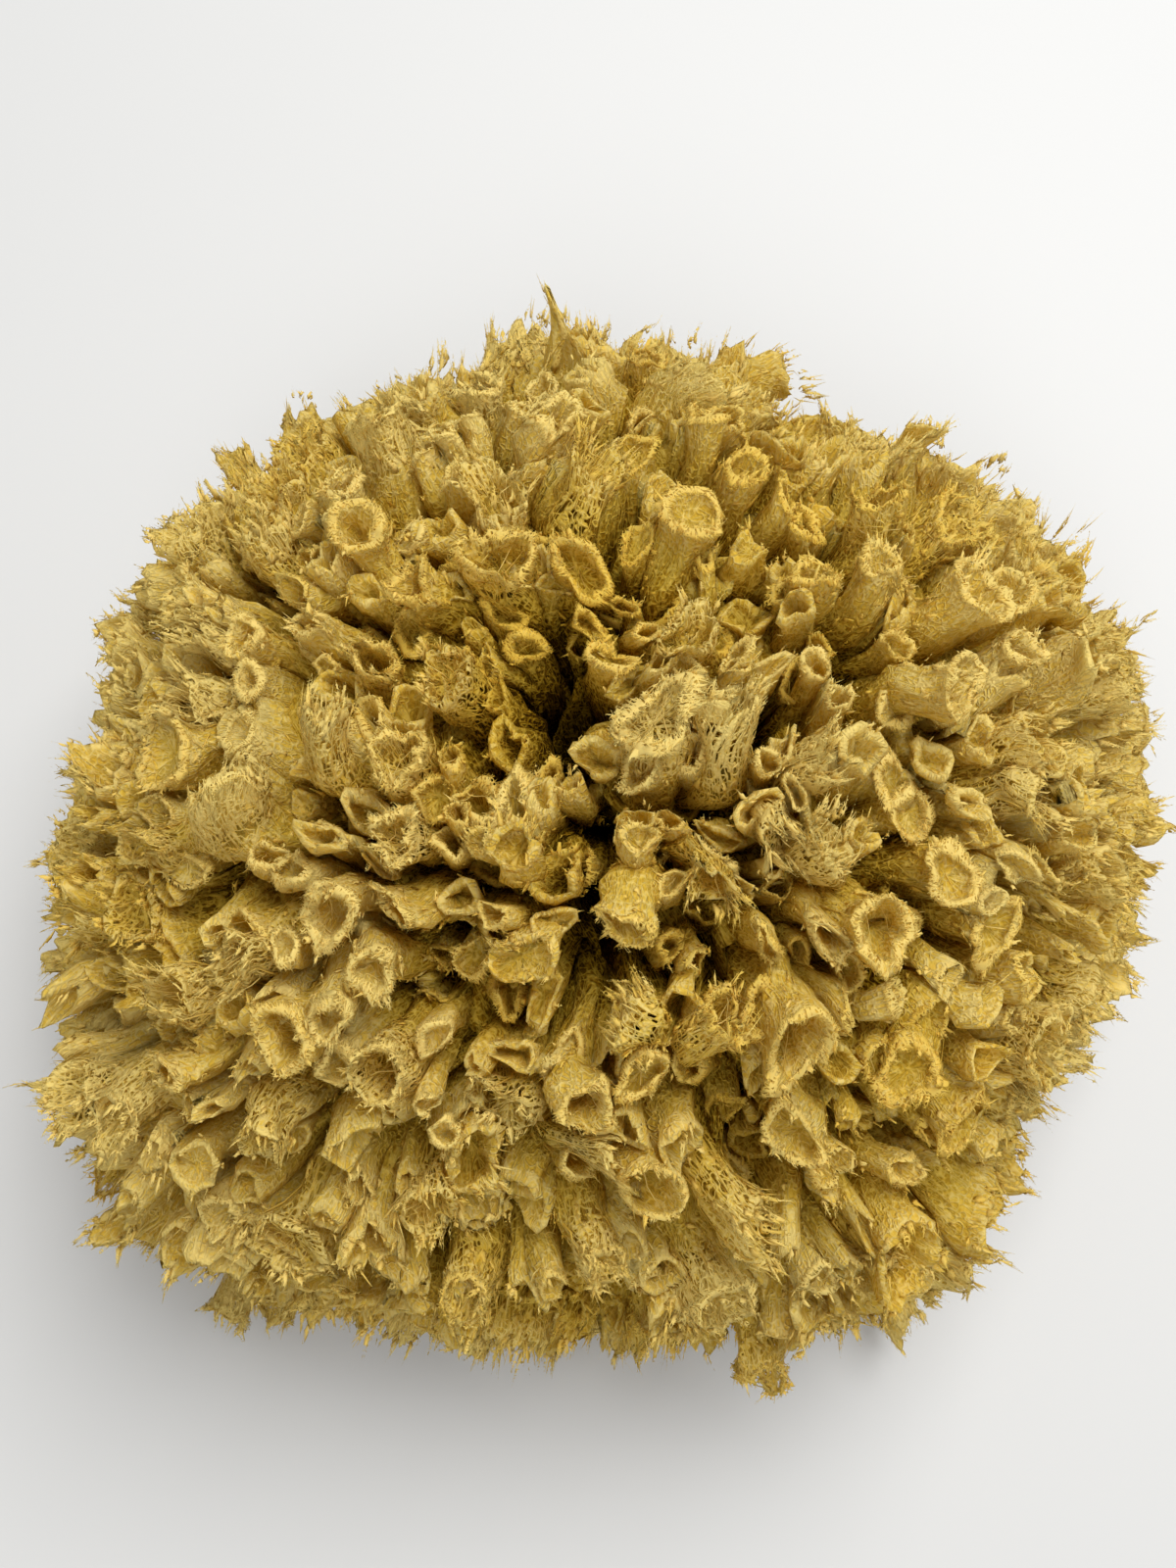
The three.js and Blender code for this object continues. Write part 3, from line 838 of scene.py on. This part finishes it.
def bend_tufts(name, tubes, count, length, blank, material):
    """Flat tufts of fine fibres, matted on the rims and walls of the tubes, as one piece."""
    rng = np.random.default_rng(count)
    places, uvs, marks = empty_rows(len(tubes) * count, blank)
    across = blank.outward * np.cos(blank.turn)
    through = blank.outward * np.sin(blank.turn)
    way_share = np.interp(blank.level, (0, 1, 2), TUFT_LEVELS)
    for number, tube in enumerate(tubes):
        own = slice(number * count, (number + 1) * count)
        wall = Wall(tube)
        turn = rng.uniform(0, 2 * math.pi, count)
        at_rim = rng.uniform(0, 1, count) < RIM_TUFTS
        crest = rng.uniform(-0.3, 1.0, count)
        crest_level = np.where(crest > 0, 1 + 0.02 * (1 - np.abs(2 * crest - 1)), rng.uniform(0.92, 1, count))
        level = np.where(at_rim, crest_level, rng.uniform(0.45, 0.95, count))
        inset = np.where(at_rim, np.maximum(crest, 0) * wall.thick(1.0), 0.0)
        root = wall.place(turn, level, inset)
        ahead = unit(wall.place(turn, level + 0.03, inset) - root)
        around = unit(wall.place(turn + 0.1, level, inset) - root)
        outward = np.cross(around, ahead)
        lift = np.where(at_rim, rng.uniform(-0.5, 0.9, count), rng.uniform(0.1, 0.5, count))
        combed = tube.kind in COMBED_KINDS
        sideways = rng.uniform(-0.9, 0.9, count) * (0.4 if combed else 1)
        way = unit(ahead + outward * lift[:, None] * (0.5 if combed else 1) + around * sideways[:, None])
        side = unit(np.cross(way, outward + rng.normal(0, 0.3, (count, 3))))
        facing = np.cross(side, way)
        reach = length * rng.uniform(0.6, 1.3, count) * np.where(at_rim, 0.5 + 0.5 * wall.kind.fringe, 1.1)
        half = length * rng.uniform(0.16, 0.32, count)
        along = (way * reach[:, None])[:, None] * way_share[None, :, None]
        bow = np.where(blank.level == 1, 0.12, 0)[None, :, None] * (facing * reach[:, None])[:, None]
        beside = (side * half[:, None])[:, None] * across[None, :, None]
        thickness = facing[:, None] * through[None, :, None] * TUFT_THICKNESS
        places[own] = root[:, None] + along + bow + beside + thickness
        sideways_uv = half[:, None] * across + rng.uniform(0, 90, count)[:, None]
        lengthwise_uv = reach[:, None] * blank.level / 2 + rng.uniform(0, 90, count)[:, None]
        uvs[own] = np.stack((sideways_uv, lengthwise_uv), axis=-1)[:, blank.loops]
        # Painted shade from the depth below the rim, lighter towards each tuft's tip; the bore's painted
        # shade darkens its loose edges, which also thin out
        below = (1 - level) * wall.path.length * 0.35
        loose = (np.abs(through) < 0.5) & (blank.level > 0.5)
        tone = np.clip(tint(tube) + rng.uniform(-0.3, 0.3, count), 0, 1)
        marks[own] = marked(below[:, None] - 0.3 * blank.level, loose, tone[:, None], 0)
    return place_piece(name, joined_mesh(name, blank, places, uvs, marks), material)


# Materials

def linked(tree, kind, **inputs):
    """A new node with its inputs set or linked by name."""
    node = tree.nodes.new(kind)
    for name, value in inputs.items():
        socket = node.inputs[int(name[1:])] if name[0] == "_" else node.inputs[name]
        if isinstance(value, bpy.types.NodeSocket):
            tree.links.new(value, socket)
        else:
            socket.default_value = value
    return node


def math_node(tree, operation, first, second=0.0, clamp=False):
    """The result of one sum on two values or sockets."""
    node = linked(tree, "ShaderNodeMath", _0=first, _1=second)
    node.operation = operation
    node.use_clamp = clamp
    return node.outputs[0]


def ramp(tree, factor, stops):
    """A colour ramp over the factor."""
    node = linked(tree, "ShaderNodeValToRGB", Fac=factor)
    elements = node.color_ramp.elements
    while len(elements) < len(stops):
        elements.new(0.5)
    for element, (position, colour) in zip(elements, stops):
        element.position = position
        element.color = (*colour, 1)
    return node.outputs["Color"]


def span(tree, value, low, high, to_low=0.0, to_high=1.0):
    """The value moved from one range to another and kept inside it."""
    node = linked(tree, "ShaderNodeMapRange", _0=value, _1=low, _2=high, _3=to_low, _4=to_high)
    return node.outputs[0]


def noise(tree, vector, scale, detail, roughness=0.5):
    """Soft noise, from 0 to 1."""
    node = linked(tree, "ShaderNodeTexNoise", Vector=vector, Scale=scale, Detail=detail, Roughness=roughness)
    return node.outputs["Fac"]


def painted_dome_shade(tree, place):
    """How much painted shade darkens a place under the dome: fully about a third of the way in."""
    raised = linked(tree, "ShaderNodeVectorMath", _0=place, _1=(0, 0, -BELLY_Z * MM))
    raised.operation = "ADD"
    reach = (1 / (DOME_ACROSS * MM), 1 / (DOME_ACROSS * MM), 1 / ((HEIGHT - BELLY_Z) * MM))
    scaled = linked(tree, "ShaderNodeVectorMath", _0=raised.outputs[0], _1=reach)
    scaled.operation = "MULTIPLY"
    length = linked(tree, "ShaderNodeVectorMath", _0=scaled.outputs[0])
    length.operation = "LENGTH"
    return span(tree, length.outputs["Value"], 0.95, 0.70, 0.0, DEPTH_PAINTED_SHADE)


def ridges(tree, vector, width):
    """Thin curved lines like single fibres: where smooth noise passes its middle value."""
    soft = noise(tree, vector, 1.0, detail=0.0)
    apart = math_node(tree, "ABSOLUTE", math_node(tree, "SUBTRACT", soft, 0.5))
    return span(tree, apart, width, 0.0)


def painted_shade_and_tone(tree, below, inside, tone, place):
    """The fibre's place on its colour ramp: painted shade from 0 in the depths to 1 on the rims, plus the
    tube's own tone.
    """
    shade = math_node(tree, "SUBTRACT", RIM_SHADE, span(tree, below, 0.0, 2.5, 0.0, SHOULDER_PAINTED_SHADE))
    shade = math_node(tree, "SUBTRACT", shade, span(tree, below, 2.0, 10.0, 0.0, SIDE_PAINTED_SHADE))
    shade = math_node(tree, "SUBTRACT", shade, painted_dome_shade(tree, place))
    shade = math_node(tree, "SUBTRACT", shade, math_node(tree, "MULTIPLY", inside, BORE_PAINTED_SHADE))
    return math_node(tree, "ADD", shade, span(tree, tone, 0.0, 1.0, *TONE_RANGE))


def fibre_material(name, weave):
    """Matted spongin fibre with painted shade: pale at the rims, golden down the sides and brown in the
    depths, darker where shade falls.

    Its weave is plain for single strands, matted for solid walls, net for walls with holes in them, and
    fringe for loose fibres that thin out towards their edges.
    """
    looks = bpy.context.scene.sponge_looks
    material = bpy.data.materials.new(name)
    material.use_nodes = True
    tree = material.node_tree
    tree.nodes.clear()
    place = tree.nodes.new("ShaderNodeTexCoord").outputs["Object"]
    shade_and_fibre_marks = tree.nodes.new("ShaderNodeVertexColor")
    shade_and_fibre_marks.layer_name = "shade_and_fibre_marks"
    marks = linked(tree, "ShaderNodeSeparateColor", Color=shade_and_fibre_marks.outputs["Color"])
    below, inside, tone = marks.outputs[0], marks.outputs[1], marks.outputs[2]
    # Painted shade: darker below the rims, deep in the dome and inside the bores
    shade = painted_shade_and_tone(tree, below, inside, tone, place)

    if weave != "plain":
        along = tree.nodes.new("ShaderNodeUVMap")
        along.uv_map = "along"
        stretch, scale = FRINGE_FIBRES if weave == "fringe" else WALL_FIBRES
        lengthwise = linked(tree, "ShaderNodeMapping", Vector=along.outputs["UV"], Scale=stretch)
        matted_way = linked(tree, "ShaderNodeMapping", Vector=place, Scale=(scale, scale, scale))
        lengthwise_fibres = ridges(tree, lengthwise.outputs[0], 0.11)
        matted_fibres = ridges(tree, matted_way.outputs[0], 0.10)
        fibres = math_node(tree, "MAXIMUM", lengthwise_fibres, matted_fibres)
    if weave in ("matted", "net"):
        felt = noise(tree, place, FELT_SCALE, detail=1.0, roughness=0.75)
        matted = math_node(tree, "MULTIPLY", fibres, FIBRE_SHARE)
        matted = math_node(tree, "ADD", matted, math_node(tree, "MULTIPLY", felt, FELT_SHARE))
        shade = math_node(tree, "ADD", shade, span(tree, matted, 0.30, 0.90, *MATTED_RANGE))
    # Colour ramp over the painted shade, from the darkest depths to the pale rims
    colour = ramp(tree, shade, (
        (0.00, looks.deep), (0.25, looks.brown), (0.52, looks.gold), (0.76, looks.straw), (1.00, looks.pale),
    ))

    shader = linked(tree, "ShaderNodeBsdfPrincipled", **{"Base Color": colour, "Roughness": 0.9})
    shader.inputs["Specular IOR Level"].default_value = 0.05
    through = linked(tree, "ShaderNodeBsdfTranslucent", Color=colour)
    if weave in ("matted", "net"):
        bump = linked(tree, "ShaderNodeBump", Height=matted, Strength=0.8, Distance=FIBRE_RELIEF * MM)
        tree.links.new(bump.outputs[0], shader.inputs["Normal"])
    mixed = linked(tree, "ShaderNodeMixShader", _0=TRANSLUCENCE, _1=shader.outputs[0], _2=through.outputs[0])
    if weave in ("net", "fringe"):
        if weave == "net":
            openness = shade_and_fibre_marks.outputs["Alpha"]
            limit = math_node(tree, "MULTIPLY", span(tree, below, 12.0, 0.8, -0.25, 0.10), openness)
        else:
            limit = span(tree, inside, 0.2, 1.0, 0.05, 0.85)
        above = math_node(tree, "SUBTRACT", fibres, limit)
        alpha = math_node(tree, "MULTIPLY", above, CRISPNESS, clamp=True)
        clear = tree.nodes.new("ShaderNodeBsdfTransparent")
        mixed = linked(tree, "ShaderNodeMixShader", _0=alpha, _1=clear.outputs[0], _2=mixed.outputs[0])
    output = tree.nodes.new("ShaderNodeOutputMaterial")
    tree.links.new(mixed.outputs[0], output.inputs["Surface"])
    return material


def floor_material():
    """A plain pale matt surface."""
    material = bpy.data.materials.new("pale_floor")
    material.use_nodes = True
    shader = material.node_tree.nodes["Principled BSDF"]
    shader.inputs["Base Color"].default_value = FLOOR_COLOUR
    shader.inputs["Roughness"].default_value = 0.6
    return material


# Settings that a user may change

def fibre_colour(name, description, default):
    """A colour of the fibre that a user may change."""
    return FloatVectorProperty(name=name, description=description, default=default, subtype="COLOR", size=3,
                               min=0, max=1)


class SpongeLooks(bpy.types.PropertyGroup):
    """Colours of the fibre along its painted shade, from the depths to the mouths."""

    # Stops of the painted shade: Depths and Feet are painted shade between and under the tubes, Rims the
    # lightest
    deep: fibre_colour("Depths", "Fibre deep between the tubes", (0.065, 0.027, 0.0004))
    brown: fibre_colour("Feet", "Fibre at the feet of the tubes", (0.36, 0.19, 0.006))
    gold: fibre_colour("Sides", "Fibre down the sides of the tubes", (0.72, 0.475, 0.050))
    straw: fibre_colour("Shoulders", "Fibre near the mouths", (0.84, 0.605, 0.105))
    pale: fibre_colour("Rims", "Dry fibre on the rims", (0.90, 0.725, 0.245))


class SpongeSizes(bpy.types.PropertyGroup):
    """Sizes of the fibres."""

    strand_radius: FloatProperty(
        name="Strand radius", description="Radius of a strand on the walls", unit="LENGTH",
        default=0.075 * MM, min=0.02 * MM, max=0.5 * MM, precision=6,
    )
    tuft_length: FloatProperty(
        name="Tuft length", description="Length of a tuft of fine fibres", unit="LENGTH",
        default=2.0 * MM, min=0.5 * MM, max=5 * MM, precision=5,
    )
    tufts_per_tube: IntProperty(
        name="Tufts a tube", description="Tufts on each full-sized tube", default=84, min=0, max=200,
    )
    tufts_per_small_tube: IntProperty(
        name="Tufts a small tube", description="Tufts on each small tube", default=22, min=0, max=100,
    )


# One operator a piece or group of pieces

class SPONGE_OT_body(bpy.types.Operator):
    """The body that all tubes stand on, with its pores and its flat cut"""

    bl_idname = "sponge.body"
    bl_label = "Body"

    def execute(self, context):
        bm = bmesh.new()
        bmesh.ops.create_icosphere(bm, subdivisions=7, radius=1.0)
        mesh = bpy.data.meshes.new("sponge_body")
        bm.to_mesh(mesh)
        bm.free()
        count = len(mesh.vertices)
        ways = np.empty(count * 3, np.float32)
        mesh.vertices.foreach_get("co", ways)
        ways = unit(ways.reshape(count, 3).astype(float))
        surface = dome_reach(ways)
        top = ways * surface[:, None]
        lowered = np.where(ways[:, 2] > STEEPEST_GAP, gap_depth(top[:, 0], top[:, 1]), 0)
        reach = surface * BODY_SHARE - lowered * BODY_GAP_SHARE - FOLD_DROP * fold_depth(top)
        rng = np.random.default_rng(5)
        for bumps, size in BODY_BUMPS:
            tilt = rng.normal(0, 1, (5, 3))
            phase = rng.uniform(0, 2 * math.pi, 5)
            reach += size * np.sin(ways @ tilt.T * bumps + phase).sum(axis=1)
        for pore in range(BODY_PORES):
            rise = 1 - 2 * (pore + 0.5) / BODY_PORES
            bearing = pore * GOLDEN_ANGLE + 0.4 * uneven(pore, 21)
            level = math.sqrt(1 - rise * rise)
            towards = np.array((level * math.cos(bearing), level * math.sin(bearing), rise))
            width = PORE_RADIUS * (0.6 + uneven(pore, 22)) / 60
            near = np.linalg.norm(ways - towards, axis=1) / width
            reach -= PORE_DEPTH * (0.5 + uneven(pore, 23)) * np.exp(-near ** 4)
        cut = BELLY_Z / np.maximum(-ways[:, 2], 1e-6)
        reach = np.where(ways[:, 2] < 0, np.minimum(reach, cut), reach)
        places = grown(ways * reach[:, None] + MIDDLE)
        mesh.vertices.foreach_set("co", (places * MM).astype(np.float32).ravel())
        mesh.update()
        loops = np.empty(len(mesh.loops), np.int32)
        mesh.loops.foreach_get("vertex_index", loops)
        flat = np.stack((places[:, 0] + places[:, 1] * 0.5, places[:, 2] + places[:, 1]), axis=1)
        # Painted shade as for fibre 7 mm below the rims, with an even middle tone
        add_layers(mesh, flat[loops], np.tile((BODY_BELOW, 0.0, 0.5, 0.0), (count, 1)))
        piece = place_piece("sponge_body", mesh, fibre_material("body_fibre", "matted"))
        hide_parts(NODE)
        return {"FINISHED"}


class SPONGE_OT_tubes(bpy.types.Operator):
    """The full-sized hollow tubes"""

    bl_idname = "sponge.tubes"
    bl_label = "Full-sized tubes"

    def execute(self, context):
        outer = (0.0, 0.35, 0.55, 0.68, 0.78, 0.86, 0.92, 0.97, 1.0)
        inner = (1.0, 0.94, 0.84, 0.68)
        blank = tube_blank(20, outer, inner, 0.5)
        matted = fibre_material("matted_fibre", "matted")
        netted = fibre_material("net_fibre", "net")
        tubes = full_sized_tubes()
        bend_tubes("matted_tubes", [tube for tube in tubes if KINDS[tube.kind].net < 0.3], blank, matted)
        bend_tubes("net_tubes", [tube for tube in tubes if KINDS[tube.kind].net > 0.3], blank, netted)
        return {"FINISHED"}


class SPONGE_OT_small_tubes(bpy.types.Operator):
    """The small tubes between the full-sized ones"""

    bl_idname = "sponge.small_tubes"
    bl_label = "Small tubes"

    def execute(self, context):
        outer = (0.0, 0.5, 0.75, 0.9, 1.0)
        inner = (1.0, 0.85)
        blank = tube_blank(12, outer, inner, 0.6)
        bend_tubes("small_tubes", small_tubes(), blank, bpy.data.materials["matted_fibre"])
        return {"FINISHED"}


class SPONGE_OT_rims(bpy.types.Operator):
    """The loose felt that frays on the rims"""

    bl_idname = "sponge.rims"
    bl_label = "Rims"

    def execute(self, context):
        fringe = fibre_material("fringe_fibre", "fringe")
        large = [tube for tube in full_sized_tubes() if tube.kind in RIMMED_KINDS]
        small = [tube for tube in small_tubes() if tube.kind in RIMMED_KINDS]
        bend_rims("rims_of_tubes", large, rim_blank(26), fringe)
        bend_rims("rims_of_small_tubes", small, rim_blank(12), fringe)
        return {"FINISHED"}


class SPONGE_OT_webs(bpy.types.Operator):
    """The thin webs that join neighbouring tubes"""

    bl_idname = "sponge.webs"
    bl_label = "Webs"

    def execute(self, context):
        pairs = neighbours(full_sized_tubes() + small_tubes())
        bend_webs("webs", pairs, slab_blank(3, 3), bpy.data.materials["matted_fibre"])
        return {"FINISHED"}


class SPONGE_OT_strands(bpy.types.Operator):
    """Strands that run up the walls of the tubes and past their rims, and across the nets"""

    bl_idname = "sponge.strands"
    bl_label = "Strands"

    def execute(self, context):
        radius = context.scene.sponge_sizes.strand_radius / MM
        rng = np.random.default_rng(21)
        material = fibre_material("strand_fibre", "plain")
        blank = strand_blank()
        tubes = full_sized_tubes() + small_tubes()
        for name, side in (("left_strands", -1), ("right_strands", 1)):
            fibres = Fibres()
            for tube in tubes:
                if (tube.mouth[0] >= 0) == (side > 0):
                    if not tube.small:
                        add_strands(fibres, tube, radius, rng)
                    add_hoops(fibres, tube, radius, rng)
                    add_chords(fibres, tube, radius, rng)
            fibres.piece(name, blank, material)
        return {"FINISHED"}


class SPONGE_OT_tufts(bpy.types.Operator):
    """Tufts of fine fibres, matted on the walls and rims"""

    bl_idname = "sponge.tufts"
    bl_label = "Tufts"

    def execute(self, context):
        sizes = context.scene.sponge_sizes
        material = bpy.data.materials["fringe_fibre"]
        length = sizes.tuft_length / MM
        short = length * SMALL_TUFT_SHARE
        blank = tuft_blank()
        bend_tufts("tufts_on_tubes", full_sized_tubes(), sizes.tufts_per_tube, length, blank, material)
        bend_tufts("tufts_on_small_tubes", small_tubes(), sizes.tufts_per_small_tube, short, blank, material)
        return {"FINISHED"}


class SPONGE_OT_stage(bpy.types.Operator):
    """Pale floor, soft studio light and a camera looking steeply down"""

    bl_idname = "sponge.stage"
    bl_label = "Stage"

    def execute(self, context):
        scene = context.scene
        mesh = bpy.data.meshes.new("floor")
        bm = bmesh.new()
        bmesh.ops.create_grid(bm, x_segments=2, y_segments=2, size=FLOOR_REACH)
        bm.to_mesh(mesh)
        bm.free()
        floor = bpy.data.objects.new("floor", mesh)
        scene.collection.objects.link(floor)
        mesh.materials.append(floor_material())

        world = bpy.data.worlds.new("soft_room")
        world.use_nodes = True
        world.node_tree.nodes["Background"].inputs["Color"].default_value = (1.0, 1.0, 1.0, 1)
        world.node_tree.nodes["Background"].inputs["Strength"].default_value = ROOM_LIGHT
        scene.world = world
        for light in LIGHTS:
            self.lamp(*light)

        camera = bpy.data.cameras.new("camera")
        camera.lens = LENS
        camera.sensor_width = 36
        camera.clip_start = 0.01
        camera.clip_end = 20
        viewer = bpy.data.objects.new("camera", camera)
        scene.collection.objects.link(viewer)
        elevation = math.radians(CAMERA_RISE)
        back = Vector((0, -math.cos(elevation), math.sin(elevation)))
        viewer.location = (Vector(CAMERA_AIM) + back * CAMERA_DISTANCE) * MM
        viewer.rotation_euler = (math.radians(90) - elevation, 0, 0)
        scene.camera = viewer
        scene.view_settings.view_transform = "Standard"
        return {"FINISHED"}

    def lamp(self, name, place, size, watts):
        """A square soft light at a place, turned to the middle of the sponge."""
        light = bpy.data.lights.new(name, "AREA")
        light.size = size
        light.energy = watts
        holder = bpy.data.objects.new(name, light)
        bpy.context.scene.collection.objects.link(holder)
        holder.location = place
        aim = Vector((0, 0, BELLY_Z * MM))
        holder.rotation_euler = (aim - Vector(place)).to_track_quat("-Z", "Y").to_euler()


class SPONGE_PT_panel(bpy.types.Panel):
    """Lists the steps that build the sponge"""

    bl_idname = "SPONGE_PT_panel"
    bl_label = "Sea sponge"
    bl_space_type = "VIEW_3D"
    bl_region_type = "UI"
    bl_category = "Sponge"

    def draw(self, context):
        layout = self.layout
        for settings in (context.scene.sponge_looks, context.scene.sponge_sizes):
            for name in settings.__annotations__:
                layout.prop(settings, name)
        for operator in OPERATORS:
            layout.operator(operator.bl_idname)


OPERATORS = (
    SPONGE_OT_body,
    SPONGE_OT_tubes,
    SPONGE_OT_small_tubes,
    SPONGE_OT_rims,
    SPONGE_OT_webs,
    SPONGE_OT_strands,
    SPONGE_OT_tufts,
    SPONGE_OT_stage,
)
CLASSES = (SpongeLooks, SpongeSizes, *OPERATORS, SPONGE_PT_panel)


def register():
    """Registers the settings, operators and panel."""
    for item in CLASSES:
        bpy.utils.register_class(item)
    bpy.types.Scene.sponge_looks = PointerProperty(type=SpongeLooks)
    bpy.types.Scene.sponge_sizes = PointerProperty(type=SpongeSizes)


def unregister():
    """Takes them away again."""
    del bpy.types.Scene.sponge_sizes
    del bpy.types.Scene.sponge_looks
    for item in reversed(CLASSES):
        bpy.utils.unregister_class(item)


def main():
    """Builds the sponge piece by piece."""
    register()
    for operator in OPERATORS:
        group, name = operator.bl_idname.split(".")
        getattr(getattr(bpy.ops, group), name)()


if __name__ == "__main__":
    main()
